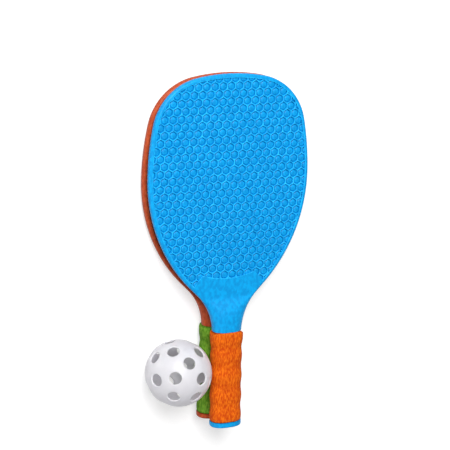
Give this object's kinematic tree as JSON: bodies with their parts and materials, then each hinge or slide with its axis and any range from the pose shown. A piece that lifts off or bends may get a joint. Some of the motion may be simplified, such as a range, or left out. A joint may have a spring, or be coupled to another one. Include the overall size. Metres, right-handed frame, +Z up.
{
  "type": "pickleball paddle set",
  "caption": "Paddle game set: two moulded plastic paddles with honeycombed heads and foam grips, stacked, with a perforated hollow plastic ball beside the grips.",
  "frame": {"origin": "middle of the underside of the set's box, on the floor that the set lies on", "axes": "+Y along the paddles from butt to head, +X to the right seen from above with the heads away, +Z up, the upper paddle's face looking up"},
  "size_m": [0.1876, 0.3904, 0.0722],
  "materials": {
    "blue_plastic": "satin moulded polypropylene",
    "orange_foam": "matt closed-cell foam",
    "orange_plastic": "satin moulded polypropylene",
    "green_foam": "matt closed-cell foam",
    "white_plastic": "satin moulded polyethylene"
  },
  "bodies": {
    "root": {"upper_paddle": "blue_plastic", "upper_grip": "orange_foam", "lower_paddle": "orange_plastic", "lower_grip": "green_foam", "ball": "white_plastic"}
  },
  "joints": []
}
